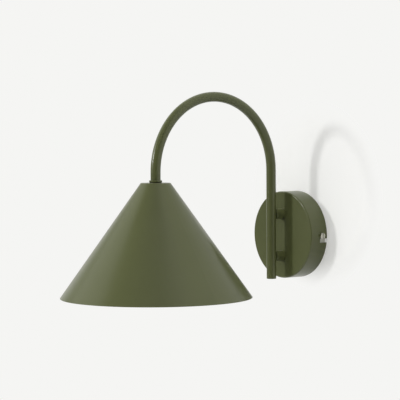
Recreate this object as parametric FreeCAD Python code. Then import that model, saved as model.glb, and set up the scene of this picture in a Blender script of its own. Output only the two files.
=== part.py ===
"""Gooseneck wall sconce: a round wall cup, a bent tube on two posts, and a cone shade with an E14 holder.

The frame is the real size in millimetres. The wall is the plane Y = 0, the lamp stands out of it
along -Y, +Z is up, and the origin is the centre of the wall cup on the wall.
"""

import FreeCAD, Part
import math
import os

# --- Wall cup: drawn sheet steel, open towards the wall ------------------------------------------
CUP_DIAMETER = 100.0
CUP_DEPTH = 24.0
CUP_WALL = 1.0
CUP_EDGE_RADIUS = 1.5

# --- Bayonet that locks the cup on its bracket ---------------------------------------------------
LOCK_FROM_WALL = 8.0
LOCK_THREAD = 4.0
LOCK_SLOT_CLEARANCE = 0.3
LOCK_TURN_DEG = 6.3
LOCK_HEAD_DIAMETER = 7.0
LOCK_HEAD_HEIGHT = 2.0
LOCK_HEAD_GAP = 0.3
LOCK_REACH_INSIDE = 3.5
SLOT_CORNER_RADIUS = 0.5

# --- Wall bracket: a stamped strap with two ears bent off the wall -------------------------------
BRACKET_THICKNESS = 1.5
BRACKET_PAD_DIAMETER = 38.0
BRACKET_ARM_WIDTH = 16.0
BRACKET_BEND_RADIUS = 1.0
BRACKET_EAR_LENGTH = 13.0
BRACKET_EAR_CORNER = 3.0
BRACKET_CUP_GAP = 0.35
CABLE_HOLE_DIAMETER = 20.0
WALL_SLOT_WIDTH = 4.5
WALL_SLOT_LENGTH = 12.0
WALL_SLOT_SPACING = 60.0
EARTH_STUD_DIAMETER = 4.0
EARTH_STUD_LENGTH = 9.0
EARTH_STUD_FLANGE = 1.0
EARTH_STUD_ANGLE_DEG = -45.0
EARTH_WASHER_BAND = 2.2

# --- Posts between the cup and the arm, and what holds them --------------------------------------
POST_DIAMETER = 12.0
POST_SPACING = 48.0
POST_STANDOFF = 11.0
POST_SADDLE_DEPTH = 0.6
POST_CHAMFER = 0.8
POST_THREAD_DEPTH = 7.0
NIPPLE_DIAMETER = 8.0
NIPPLE_WALL = 1.0
NIPPLE_NUT_BAND = 1.5
NIPPLE_NUT_HEIGHT = 3.0
NIPPLE_PROTRUSION = 1.2
POST_SCREW_DIAMETER = 5.0
POST_SCREW_HEAD_BAND = 2.25
POST_SCREW_HEAD_HEIGHT = 3.2
WASHER_THICKNESS = 0.8
TOOTH_WASHER_BAND = 3.2
TOOTH_WASHER_TEETH = 12
SHEET_HOLE_CLEARANCE = 0.25
THREAD_CLEARANCE = 0.05

# --- Gooseneck arm -------------------------------------------------------------------------------
TUBE_DIAMETER = 11.0
TUBE_WALL = 1.5
BEND_RADIUS = 83.0
BEND_CENTRE_HEIGHT = 75.0
WALL_LEG_FOOT = 50.0
SHADE_LEG_LENGTH = 8.2
PLUG_FLANGE = 1.0
PLUG_STEM = 7.0
SPIGOT_STEP = 0.5
SPIGOT_ENGAGEMENT = 7.5

# --- Shade and the stack that clamps it ----------------------------------------------------------
SHADE_HEIGHT = 125.0
SHADE_TOP_DIAMETER = 32.5
SHADE_RIM_DIAMETER = 210.0
SHADE_WALL = 0.8
SHADE_CORNER_RADIUS = 1.6
COLLAR_STEP = 1.6
COLLAR_HEIGHT = 2.0
COLLAR_CHAMFER = 0.5
FIBRE_WASHER_INSET = 0.4
SHADE_NUT_BAND = 2.0
SHADE_NUT_HEIGHT = 3.0

# --- E14 lampholder, from the socket outwards ----------------------------------------------------
SHELL_BORE = 14.4
SHELL_WALL = 0.4
SHELL_LENGTH = 22.0
SHELL_FLANGE = 3.0
SHELL_FLARE = 0.35
SOCKET_GAP = 0.8
GUARD_WALL = 1.6
GUARD_RECESS = 1.5
HOLDER_AIR_GAP = 2.2
HOLDER_WALL = 1.8
HOLDER_NECK_WALL = 2.5
HOLDER_NECK_LENGTH = 8.0
HOLDER_DOME_HEIGHT = 5.5
HOLDER_GRIP_LENGTH = 6.0
HOLDER_SLEEVE_LENGTH = 32.0
HOLDER_JOINT_OVERLAP = 4.5
HOLDER_FLUTES = 16
HOLDER_FLUTE_RADIUS = 0.7
HOLDER_CHAMFER = 0.5
INSERT_DISC_HEIGHT = 10.0
CONTACT_THICKNESS = 0.4
CONTACT_WIDTH = 3.0
CONTACT_DIP = 2.0
GRUB_DIAMETER = 3.0

# --- E14 golf-ball bulb --------------------------------------------------------------------------
BULB_LENGTH = 78.0
BULB_SHELL_CLEARANCE = 0.4
BULB_SHELL_LENGTH = 17.0
BULB_SHELL_SHOULDER = 0.8
BULB_INSULATOR_HEIGHT = 3.0
BULB_PIP_DIAMETER = 5.0
BULB_PIP_HEIGHT = 0.8
BULB_CONTACT_GAP = 0.3
BULB_GLOBE_DIAMETER = 45.0
BULB_GLASS = 0.8
BULB_NECK_STEP = 0.8
BULB_NECK_FILLET = 10.0
STEM_FOOT_DIAMETER = 9.0
STEM_ROD_DIAMETER = 3.0
STEM_TIP = 1.0
FILAMENT_COUNT = 4
FILAMENT_DIAMETER = 1.8
FILAMENT_LENGTH = 24.0
FILAMENT_CIRCLE = 13.0
FILAMENT_LEAD_DIAMETER = 0.5

# --- Terminal block and wires --------------------------------------------------------------------
BLOCK_CENTRE_X = -28.0
BLOCK_POLES = 3
BLOCK_POLE_PITCH = 12.0
BLOCK_POLE_WIDTH = 9.6
BLOCK_WIDTH = 17.0
BLOCK_HEIGHT = 13.0
BLOCK_WEB_HEIGHT = 5.0
BLOCK_WEB_INSET = 2.0
BLOCK_CORNER_RADIUS = 2.5
BLOCK_WAY_HEIGHT = 6.5
CLAMP_DIAMETER = 4.6
CLAMP_BORE = 3.2
CLAMP_RECESS = 0.75
CLAMP_SCREW_DIAMETER = 2.6
CLAMP_SCREW_LENGTH = 4.0
CLAMP_SCREW_OFFSET = 4.3
CLAMP_SCREW_WELL_GAP = 0.4
BLOCK_STUD_DIAMETER = 3.0
BLOCK_STUD_END = 1.0
BLOCK_NUT_BAND = 1.25
BLOCK_NUT_HEIGHT = 2.4
BLOCK_NUT_WELL_GAP = 0.1
WIRE_DIAMETER = 2.0
WIRE_SPREAD = 2.3
WIRE_LOOP = 8.5
TAG_BARREL_WALL = 0.6
TAG_BARREL_LENGTH = 5.0
TAG_EYE_BAND = 0.25
TAG_NECK_LENGTH = 2.0

PARTS_FOLDER = "parts"

X_AXIS = FreeCAD.Vector(1, 0, 0)
Y_AXIS = FreeCAD.Vector(0, 1, 0)
Z_AXIS = FreeCAD.Vector(0, 0, 1)
ORIGIN = FreeCAD.Vector(0, 0, 0)

# --- Sizes and places worked out from the ones above ---------------------------------------------
cup_radius = CUP_DIAMETER / 2
cup_face_y = -CUP_DEPTH
cup_inside_y = cup_face_y + CUP_WALL
post_z = POST_SPACING / 2
nipple_bore = NIPPLE_DIAMETER - 2 * NIPPLE_WALL
nipple_tail = CUP_WALL + WASHER_THICKNESS + NIPPLE_NUT_HEIGHT + NIPPLE_PROTRUSION
post_screw_head = POST_SCREW_DIAMETER + 2 * POST_SCREW_HEAD_BAND

tube_radius = TUBE_DIAMETER / 2
tube_bore = TUBE_DIAMETER - 2 * TUBE_WALL
spigot_diameter = TUBE_DIAMETER - 2 * SPIGOT_STEP
spigot_hole = spigot_diameter + 2 * THREAD_CLEARANCE
arm_y = cup_face_y - POST_STANDOFF - tube_radius
shade_y = arm_y - 2 * BEND_RADIUS

collar_top_z = BEND_CENTRE_HEIGHT - SHADE_LEG_LENGTH
shade_top_z = collar_top_z - COLLAR_HEIGHT - WASHER_THICKNESS
shade_under_z = shade_top_z - SHADE_WALL
shade_nut_top_z = shade_under_z - WASHER_THICKNESS
holder_top_z = shade_nut_top_z - SHADE_NUT_HEIGHT
spigot_end_z = holder_top_z - SPIGOT_ENGAGEMENT
dome_top_z = holder_top_z - HOLDER_NECK_LENGTH
grip_top_z = dome_top_z - HOLDER_DOME_HEIGHT
sleeve_top_z = grip_top_z - HOLDER_GRIP_LENGTH
sleeve_foot_z = sleeve_top_z - HOLDER_SLEEVE_LENGTH
insert_top_z = sleeve_top_z + HOLDER_JOINT_OVERLAP
socket_roof_z = insert_top_z - INSERT_DISC_HEIGHT
grub_z = holder_top_z - HOLDER_NECK_LENGTH / 2

shell_radius = SHELL_BORE / 2 + SHELL_WALL
guard_bore = shell_radius + SOCKET_GAP
guard_radius = guard_bore + GUARD_WALL
holder_bore = guard_radius + HOLDER_AIR_GAP
holder_radius = holder_bore + HOLDER_WALL
neck_radius = spigot_diameter / 2 + HOLDER_NECK_WALL

bulb_top_z = socket_roof_z - CONTACT_DIP - BULB_CONTACT_GAP
bulb_cone_z = bulb_top_z - BULB_PIP_HEIGHT
bulb_shell_top_z = bulb_cone_z - BULB_INSULATOR_HEIGHT
bulb_shell_foot_z = bulb_shell_top_z - BULB_SHELL_LENGTH
bulb_shell_radius = SHELL_BORE / 2 - BULB_SHELL_CLEARANCE
globe_centre_z = bulb_top_z - BULB_LENGTH + BULB_GLOBE_DIAMETER / 2
filament_top_z = globe_centre_z + FILAMENT_LENGTH / 2
filament_foot_z = filament_top_z - FILAMENT_LENGTH

block_way_y = cup_inside_y + BLOCK_WAY_HEIGHT
block_side_x = BLOCK_CENTRE_X + BLOCK_WIDTH / 2
block_stud_z = BLOCK_POLE_PITCH / 2
block_nut_flats = BLOCK_STUD_DIAMETER + 2 * BLOCK_NUT_BAND
pole_z = [BLOCK_POLE_PITCH * ((BLOCK_POLES - 1) / 2 - k) for k in range(BLOCK_POLES)]
tag_eye_radius = post_screw_head / 2 + TAG_EYE_BAND
tag_barrel_diameter = WIRE_DIAMETER + 2 * TAG_BARREL_WALL
tag_barrel_y = cup_inside_y + tag_barrel_diameter / 2
tag_neck_top_z = -post_z + tag_eye_radius + TAG_NECK_LENGTH


# --- Shared shapes -------------------------------------------------------------------------------
def vec(x, y, z):
    """Returns a point or direction."""
    return FreeCAD.Vector(x, y, z)


def placed(shape, base, direction):
    """Returns the shape moved so that its own origin is at base and its own +Z runs along direction."""
    shape.Placement = FreeCAD.Placement(base, FreeCAD.Rotation(Z_AXIS, direction))
    return shape


def rounded_path(corners, closed=False):
    """Returns straight and tangent-arc edges through corners, each given as (point, corner radius)."""
    count = len(corners)
    entries, exits, mids = [], [], []
    for i, (point, radius) in enumerate(corners):
        is_end = not closed and i in (0, count - 1)
        if is_end or radius == 0:
            entries.append(point)
            exits.append(point)
            mids.append(None)
            continue
        back = (corners[i - 1][0] - point).normalize()
        ahead = (corners[(i + 1) % count][0] - point).normalize()
        half_angle = back.getAngle(ahead) / 2
        reach = radius / math.tan(half_angle)
        bisector = (back + ahead).normalize()
        centre = point + bisector * (radius / math.sin(half_angle))
        entries.append(point + back * reach)
        exits.append(point + ahead * reach)
        mids.append(centre - bisector * radius)
    edges = []
    for i in range(count):
        if mids[i] is not None:
            edges.append(Part.Arc(entries[i], mids[i], exits[i]).toShape())
        if i == count - 1 and not closed:
            break
        start, end = exits[i], entries[(i + 1) % count]
        if (end - start).Length > 1e-6:
            edges.append(Part.LineSegment(start, end).toShape())
    return edges


def outline_face(corners):
    """Returns the flat face inside a closed outline of (point, corner radius)."""
    return Part.Face(Part.Wire(rounded_path(corners, closed=True)))


def turned(profile, base=ORIGIN, direction=Z_AXIS):
    """Returns the solid that a closed (radius, height[, corner radius]) profile sweeps about its axis."""
    corners = [(vec(p[0], 0, p[1]), p[2] if len(p) > 2 else 0) for p in profile]
    solid = outline_face(corners).revolve(ORIGIN, Z_AXIS, 360)
    return placed(solid, base, direction)


def on_shade_axis(profile):
    """Returns a turned solid about the shade's axis, with heights in the lamp's own frame."""
    return turned(profile, vec(0, shade_y, 0))


def rod(diameter, start, end):
    """Returns a plain round bar from start to end."""
    run = end - start
    return Part.makeCylinder(diameter / 2, run.Length, start, run)


def ring(outer, bore, height, base, direction=Z_AXIS):
    """Returns a plain washer."""
    washer = Part.makeCylinder(outer / 2, height).cut(Part.makeCylinder(bore / 2, height))
    return placed(washer, base, direction)


def box(low, high):
    """Returns the box between two opposite corners."""
    size = high - low
    return Part.makeBox(size.x, size.y, size.z, low)


def hex_nut(across_flats, bore, height, base, direction):
    """Returns a hexagon nut with eased corners that stands on base and grows along direction."""
    corner = across_flats / math.sqrt(3)
    ease = (corner - across_flats / 2) * 0.6
    turns = [math.radians(60 * k) for k in range(7)]
    hexagon = Part.makePolygon([vec(corner * math.cos(a), corner * math.sin(a), 0) for a in turns])
    prism = Part.Face(hexagon).extrude(Z_AXIS * height)
    envelope = turned(
        [
            (0, 0),
            (corner - ease, 0),
            (corner, ease),
            (corner, height - ease),
            (corner - ease, height),
            (0, height),
        ]
    )
    nut = prism.common(envelope).cut(Part.makeCylinder(bore / 2, height))
    return placed(nut, base, direction)


def tooth_washer(bore, base, direction):
    """Returns a lock washer with teeth cut into its outer edge."""
    outer = bore + 2 * TOOTH_WASHER_BAND
    gap = math.pi * outer / TOOTH_WASHER_TEETH * 0.4
    root = outer / 2 - TOOTH_WASHER_BAND * 0.45
    notches = []
    for k in range(TOOTH_WASHER_TEETH):
        notch = box(vec(root, -gap / 2, 0), vec(outer, gap / 2, WASHER_THICKNESS))
        notch.rotate(ORIGIN, Z_AXIS, 360 * k / TOOTH_WASHER_TEETH)
        notches.append(notch)
    washer = ring(outer, bore, WASHER_THICKNESS, ORIGIN).cut(notches)
    return placed(washer, base, direction)


def slotted_screw(thread, length, head_diameter, head_height, base, direction):
    """Returns a slotted cheese-head screw: its head sits on base and its shank runs along direction."""
    lead = thread * 0.15
    screw = turned(
        [
            (0, -head_height),
            (head_diameter / 2, -head_height, head_height * 0.25),
            (head_diameter / 2, 0),
            (thread / 2, 0),
            (thread / 2, length - lead),
            (thread / 2 - lead, length),
            (0, length),
        ]
    )
    slot_width = head_diameter * 0.17
    slot = box(
        vec(-head_diameter, -slot_width / 2, -head_height),
        vec(head_diameter, slot_width / 2, -head_height * 0.5),
    )
    return placed(screw.cut(slot), base, direction)


def grub_screw(diameter, length, base, direction):
    """Returns a headless screw with a slot across its far end."""
    radius = diameter / 2 - THREAD_CLEARANCE
    ease = diameter * 0.1
    screw = turned(
        [
            (0, 0),
            (radius - ease, 0),
            (radius, ease),
            (radius, length - ease),
            (radius - ease, length),
            (0, length),
        ]
    )
    slot_width = diameter * 0.17
    slot = box(vec(-diameter, -slot_width / 2, length * 0.8), vec(diameter, slot_width / 2, length))
    return placed(screw.cut(slot), base, direction)


def swept_round(edges, diameter):
    """Returns the round bar that follows a path of tangent edges."""
    start = edges[0].valueAt(edges[0].FirstParameter)
    tangent = edges[0].tangentAt(edges[0].FirstParameter)
    section = Part.Wire(Part.makeCircle(diameter / 2, start, tangent))
    return Part.Wire(edges).makePipeShell([section], True, False)


# --- Wall cup and bayonet ------------------------------------------------------------------------
def lock_slot():
    """Returns the cutter for one L-shaped slot through the cup's +X side, open at the wall edge."""
    half = LOCK_THREAD / 2 + LOCK_SLOT_CLEARANCE
    drop = (cup_radius - CUP_WALL / 2) * math.sin(math.radians(LOCK_TURN_DEG))
    start_x = cup_radius * 0.8
    near_y, far_y = half - LOCK_FROM_WALL, -half - LOCK_FROM_WALL
    closed_end = half * 0.98
    outline = [
        (vec(start_x, far_y, half), closed_end),
        (vec(start_x, far_y, -drop - half), SLOT_CORNER_RADIUS),
        (vec(start_x, 1, -drop - half), 0),
        (vec(start_x, 1, -drop + half), 0),
        (vec(start_x, near_y, -drop + half), SLOT_CORNER_RADIUS),
        (vec(start_x, near_y, half), closed_end),
    ]
    return outline_face(outline).extrude(X_AXIS * (cup_radius * 1.1 - start_x))


def wall_cup():
    """The drawn cup with its rounded edge, two bayonet slots and the holes behind the posts."""
    inner = cup_radius - CUP_WALL
    cup = turned(
        [
            (0, CUP_DEPTH),
            (cup_radius, CUP_DEPTH, CUP_EDGE_RADIUS),
            (cup_radius, 0),
            (inner, 0),
            (inner, CUP_DEPTH - CUP_WALL, max(CUP_EDGE_RADIUS - CUP_WALL, CUP_WALL * 0.2)),
            (0, CUP_DEPTH - CUP_WALL),
        ],
        direction=-Y_AXIS,
    )
    slot = lock_slot()
    opposite = slot.copy()
    opposite.rotate(ORIGIN, Y_AXIS, 180)
    cuts = [slot, opposite]
    for thread, z in ((NIPPLE_DIAMETER, post_z), (POST_SCREW_DIAMETER, -post_z)):
        cuts.append(rod(thread + 2 * SHEET_HOLE_CLEARANCE, vec(0, cup_face_y - 1, z), vec(0, 0, z)))
    return cup.cut(cuts)


def ear_face_x():
    """Returns how far out the bracket's ears reach and still clear the inside of the cup."""
    reach = cup_radius - CUP_WALL - BRACKET_CUP_GAP
    return math.sqrt(reach**2 - (BRACKET_ARM_WIDTH / 2) ** 2)


def earth_stud_place():
    """Returns the centre of the earth stud, midway across the pad's ring, on the wall plane."""
    radius = (BRACKET_PAD_DIAMETER + CABLE_HOLE_DIAMETER) / 4
    angle = math.radians(EARTH_STUD_ANGLE_DEG)
    return vec(radius * math.cos(angle), 0, radius * math.sin(angle))


def wall_slot_cutters():
    """Returns the cutters for the two slots that take the wall screws."""
    half_run = (WALL_SLOT_LENGTH - WALL_SLOT_WIDTH) / 2
    half_width = WALL_SLOT_WIDTH / 2
    cutters = []
    for side in (-1, 1):
        centre = side * WALL_SLOT_SPACING / 2
        for x in (centre - half_run, centre + half_run):
            cutters.append(rod(WALL_SLOT_WIDTH, vec(x, 1, 0), vec(x, -BRACKET_THICKNESS - 1, 0)))
        low = vec(centre - half_run, -BRACKET_THICKNESS - 1, -half_width)
        cutters.append(box(low, vec(centre + half_run, 1, half_width)))
    return cutters


def wall_bracket():
    """The strap on the wall: a pad round the cable hole, two slotted arms and two tapped ears."""
    face_x = ear_face_x()
    ear_y = -BRACKET_EAR_LENGTH
    inside_x = face_x - BRACKET_THICKNESS
    outer_bend = BRACKET_BEND_RADIUS + BRACKET_THICKNESS
    half = BRACKET_ARM_WIDTH / 2
    side_view = [
        (vec(-face_x, ear_y, -half), 0),
        (vec(-face_x, 0, -half), outer_bend),
        (vec(face_x, 0, -half), outer_bend),
        (vec(face_x, ear_y, -half), 0),
        (vec(inside_x, ear_y, -half), 0),
        (vec(inside_x, -BRACKET_THICKNESS, -half), BRACKET_BEND_RADIUS),
        (vec(-inside_x, -BRACKET_THICKNESS, -half), BRACKET_BEND_RADIUS),
        (vec(-inside_x, ear_y, -half), 0),
    ]
    strap = outline_face(side_view).extrude(Z_AXIS * BRACKET_ARM_WIDTH)
    end_view = [
        (vec(-cup_radius, 1, -half), 0),
        (vec(-cup_radius, ear_y, -half), BRACKET_EAR_CORNER),
        (vec(-cup_radius, ear_y, half), BRACKET_EAR_CORNER),
        (vec(-cup_radius, 1, half), 0),
    ]
    strap = strap.common(outline_face(end_view).extrude(X_AXIS * CUP_DIAMETER))
    pad = Part.makeCylinder(BRACKET_PAD_DIAMETER / 2, BRACKET_THICKNESS, ORIGIN, -Y_AXIS)
    cuts = wall_slot_cutters()
    cuts.append(rod(CABLE_HOLE_DIAMETER, vec(0, 1, 0), vec(0, -BRACKET_THICKNESS - 1, 0)))
    for side in (-1, 1):
        outside = vec(side * (face_x + 1), -LOCK_FROM_WALL, 0)
        inside = vec(side * (inside_x - 1), -LOCK_FROM_WALL, 0)
        cuts.append(rod(LOCK_THREAD + 2 * THREAD_CLEARANCE, outside, inside))
    stud = earth_stud_place()
    middle = stud - Y_AXIS * (BRACKET_THICKNESS / 2)
    cuts.append(rod(EARTH_STUD_DIAMETER, stud, stud - Y_AXIS * BRACKET_THICKNESS))
    cuts.append(rod(EARTH_STUD_DIAMETER + 2 * EARTH_STUD_FLANGE, stud, middle))
    return strap.fuse(pad).removeSplitter().cut(cuts)


def lock_screws():
    """The two side screws that the bayonet slots hook over."""
    seat_x = cup_radius + LOCK_HEAD_GAP
    length = seat_x - ear_face_x() + BRACKET_THICKNESS + LOCK_REACH_INSIDE
    screws = []
    for side in (-1, 1):
        seat = vec(side * seat_x, -LOCK_FROM_WALL, 0)
        inward = X_AXIS * -side
        screws.append(slotted_screw(LOCK_THREAD, length, LOCK_HEAD_DIAMETER, LOCK_HEAD_HEIGHT, seat, inward))
    return Part.makeCompound(screws)


def earth_stud():
    """The clinch stud, its flange flush with the back of the bracket."""
    radius = EARTH_STUD_DIAMETER / 2
    lead = radius * 0.3
    profile = [
        (0, 0),
        (radius + EARTH_STUD_FLANGE, 0),
        (radius + EARTH_STUD_FLANGE, BRACKET_THICKNESS / 2),
        (radius, BRACKET_THICKNESS / 2),
        (radius, EARTH_STUD_LENGTH - lead),
        (radius - lead, EARTH_STUD_LENGTH),
        (0, EARTH_STUD_LENGTH),
    ]
    return turned(profile, earth_stud_place(), -Y_AXIS)


def earth_washer():
    """The plain washer under the earth nut."""
    base = earth_stud_place() - Y_AXIS * BRACKET_THICKNESS
    bore = EARTH_STUD_DIAMETER + 2 * THREAD_CLEARANCE
    return ring(bore + 2 * EARTH_WASHER_BAND, bore, WASHER_THICKNESS, base, -Y_AXIS)


def earth_nut():
    """The nut on the earth stud."""
    base = earth_stud_place() - Y_AXIS * (BRACKET_THICKNESS + WASHER_THICKNESS)
    bore = EARTH_STUD_DIAMETER + 2 * THREAD_CLEARANCE
    return hex_nut(EARTH_STUD_DIAMETER * 1.75, bore, EARTH_STUD_DIAMETER * 0.75, base, -Y_AXIS)


# --- Posts and what holds them in the cup --------------------------------------------------------
def post(z, bore_profile):
    """Returns a turned post from the cup's face to the arm, saddle-cut to the tube, with that bore."""
    radius = POST_DIAMETER / 2
    length = POST_STANDOFF + POST_SADDLE_DEPTH
    foot_chamfer = POST_CHAMFER / 2
    profile = [
        (0, 0),
        (radius - foot_chamfer, 0),
        (radius, foot_chamfer),
        (radius, length - POST_CHAMFER),
        (radius - POST_CHAMFER, length),
        (0, length),
    ]
    seat = vec(0, cup_face_y, z)
    body = turned(profile, seat, -Y_AXIS)
    bore = turned(bore_profile, seat, -Y_AXIS)
    arm = rod(TUBE_DIAMETER, vec(0, arm_y, z - POST_DIAMETER), vec(0, arm_y, z + POST_DIAMETER))
    return body.cut([bore, arm])


def post_upper():
    """The upper post, tapped for the hollow nipple and bored through for the wires."""
    thread = NIPPLE_DIAMETER / 2
    way = nipple_bore / 2
    end = POST_STANDOFF + tube_radius
    step = [(0, 0), (thread, 0), (thread, POST_THREAD_DEPTH), (way, POST_THREAD_DEPTH), (way, end), (0, end)]
    return post(post_z, step)


def post_lower():
    """The lower post, with a blind tapped hole."""
    thread = POST_SCREW_DIAMETER / 2
    drill_point = POST_THREAD_DEPTH + thread * 0.6
    return post(-post_z, [(0, 0), (thread, 0), (thread, POST_THREAD_DEPTH), (0, drill_point)])


def post_nipple():
    """The hollow threaded nipple that holds the upper post and carries the wires into the arm."""
    base = vec(0, cup_face_y + nipple_tail, post_z)
    length = nipple_tail + POST_THREAD_DEPTH - THREAD_CLEARANCE
    return ring(NIPPLE_DIAMETER - 2 * THREAD_CLEARANCE, nipple_bore, length, base, -Y_AXIS)


def post_nipple_washer():
    """The toothed washer inside the cup, under the nipple's nut."""
    return tooth_washer(NIPPLE_DIAMETER, vec(0, cup_inside_y, post_z), Y_AXIS)


def post_nipple_nut():
    """The nut on the nipple, inside the cup."""
    base = vec(0, cup_inside_y + WASHER_THICKNESS, post_z)
    across_flats = NIPPLE_DIAMETER + 2 * NIPPLE_NUT_BAND
    return hex_nut(across_flats, NIPPLE_DIAMETER, NIPPLE_NUT_HEIGHT, base, Y_AXIS)


def earth_tag():
    """The ring terminal under the lower post's screw, its crimp barrel pointing up."""
    base = vec(0, cup_inside_y, -post_z)
    eye = Part.makeCylinder(tag_eye_radius, WASHER_THICKNESS, base, Y_AXIS)
    half_neck = tag_barrel_diameter / 2
    neck = box(vec(-half_neck, base.y, base.z), vec(half_neck, base.y + WASHER_THICKNESS, tag_neck_top_z))
    foot = vec(0, tag_barrel_y, tag_neck_top_z - TAG_BARREL_LENGTH * 0.2)
    barrel = rod(tag_barrel_diameter, foot, foot + Z_AXIS * TAG_BARREL_LENGTH)
    mouth = vec(0, tag_barrel_y, tag_neck_top_z)
    bore = rod(WIRE_DIAMETER + 2 * THREAD_CLEARANCE, mouth, mouth + Z_AXIS * TAG_BARREL_LENGTH)
    hole = rod(POST_SCREW_DIAMETER + 2 * SHEET_HOLE_CLEARANCE, base, base + Y_AXIS * tag_barrel_diameter)
    return eye.fuse([neck, barrel]).cut([bore, hole])


def post_screw_washer():
    """The spring washer under the lower post's screw, split across one side."""
    bore = POST_SCREW_DIAMETER + 2 * SHEET_HOLE_CLEARANCE
    base = vec(0, cup_inside_y + WASHER_THICKNESS, -post_z)
    half_split = WASHER_THICKNESS / 2
    split = box(
        vec(-half_split, base.y, base.z - post_screw_head),
        vec(half_split, base.y + WASHER_THICKNESS, base.z),
    )
    return ring(post_screw_head, bore, WASHER_THICKNESS, base, Y_AXIS).cut(split)


def post_screw():
    """The screw that holds the lower post, driven from inside the cup."""
    seat = vec(0, cup_inside_y + 2 * WASHER_THICKNESS, -post_z)
    length = CUP_WALL + 2 * WASHER_THICKNESS + POST_THREAD_DEPTH * 0.85
    thread = POST_SCREW_DIAMETER - 2 * THREAD_CLEARANCE
    return slotted_screw(thread, length, post_screw_head, POST_SCREW_HEAD_HEIGHT, seat, -Y_AXIS)


# --- Gooseneck arm -------------------------------------------------------------------------------
def arm_path(x, foot_z, end_z):
    """Returns a line along the arm: up the wall leg, over the half-round bend and down to the shade."""
    wall_leg = vec(x, arm_y, BEND_CENTRE_HEIGHT)
    crown = vec(x, arm_y - BEND_RADIUS, BEND_CENTRE_HEIGHT + BEND_RADIUS)
    shade_leg = vec(x, shade_y, BEND_CENTRE_HEIGHT)
    return [
        Part.LineSegment(vec(x, arm_y, foot_z), wall_leg).toShape(),
        Part.Arc(wall_leg, crown, shade_leg).toShape(),
        Part.LineSegment(shade_leg, vec(x, shade_y, end_z)).toShape(),
    ]


def arm_tube():
    """The bent tube, its end turned down to the thread that carries the shade and the holder."""
    foot_z = -WALL_LEG_FOOT + PLUG_FLANGE
    radius = spigot_diameter / 2
    spigot = on_shade_axis(
        [
            (0, spigot_end_z),
            (radius - SPIGOT_STEP, spigot_end_z),
            (radius, spigot_end_z + SPIGOT_STEP),
            (radius, collar_top_z),
            (0, collar_top_z),
        ]
    )
    outer = swept_round(arm_path(0, foot_z, collar_top_z), TUBE_DIAMETER)
    bore = swept_round(arm_path(0, foot_z, spigot_end_z), tube_bore)
    wire_hole = rod(nipple_bore, vec(0, arm_y, post_z), vec(0, cup_face_y, post_z))
    return outer.fuse(spigot).cut([bore, wire_hole]).removeSplitter()


def arm_end_plug():
    """The plug that closes the foot of the wall leg."""
    stem = tube_bore / 2 - THREAD_CLEARANCE
    foot = -WALL_LEG_FOOT
    lead = PLUG_FLANGE * 0.8
    stem_top = foot + PLUG_FLANGE + PLUG_STEM
    profile = [
        (0, foot),
        (tube_radius, foot, PLUG_FLANGE * 0.5),
        (tube_radius, foot + PLUG_FLANGE),
        (stem, foot + PLUG_FLANGE),
        (stem, stem_top - lead),
        (stem - lead, stem_top),
        (0, stem_top),
    ]
    return turned(profile, vec(0, arm_y, 0))


# --- Shade and its clamp -------------------------------------------------------------------------
def arm_collar():
    """The ring that the tube's shoulder presses on the shade."""
    bore = spigot_hole / 2
    radius = tube_radius + COLLAR_STEP
    foot_z = shade_top_z + WASHER_THICKNESS
    return on_shade_axis(
        [
            (bore, foot_z),
            (radius, foot_z),
            (radius, collar_top_z - COLLAR_CHAMFER),
            (radius - COLLAR_CHAMFER, collar_top_z),
            (bore, collar_top_z),
        ]
    )


def shade_washer():
    """The fibre washer that keeps the collar off the paint."""
    outer = TUBE_DIAMETER + 2 * (COLLAR_STEP - FIBRE_WASHER_INSET)
    return ring(outer, spigot_hole, WASHER_THICKNESS, vec(0, shade_y, shade_top_z))


def shade():
    """The spun cone: a flat top with a rounded shoulder, a straight flank and an eased rim."""
    top_radius = SHADE_TOP_DIAMETER / 2
    rim_radius = SHADE_RIM_DIAMETER / 2
    rim_z = shade_top_z - SHADE_HEIGHT
    flank = math.atan2(SHADE_HEIGHT, rim_radius - top_radius)
    rim_inset = SHADE_WALL / math.sin(flank)
    shoulder_inset = SHADE_WALL * math.tan(flank / 2)
    hole = spigot_diameter / 2 + SHEET_HOLE_CLEARANCE
    inner_corner = max(SHADE_CORNER_RADIUS - SHADE_WALL, SHADE_WALL * 0.2)
    return on_shade_axis(
        [
            (hole, shade_top_z),
            (top_radius, shade_top_z, SHADE_CORNER_RADIUS),
            (rim_radius, rim_z, SHADE_WALL * 0.3),
            (rim_radius - rim_inset, rim_z, SHADE_WALL * 0.3),
            (top_radius - shoulder_inset, shade_under_z, inner_corner),
            (hole, shade_under_z),
        ]
    )


def shade_lock_washer():
    """The toothed washer under the shade's top."""
    return tooth_washer(spigot_hole, vec(0, shade_y, shade_under_z), -Z_AXIS)


def shade_nut():
    """The nut that clamps the shade to the arm."""
    across_flats = spigot_diameter + 2 * SHADE_NUT_BAND
    return hex_nut(across_flats, spigot_hole, SHADE_NUT_HEIGHT, vec(0, shade_y, shade_nut_top_z), -Z_AXIS)


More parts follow.
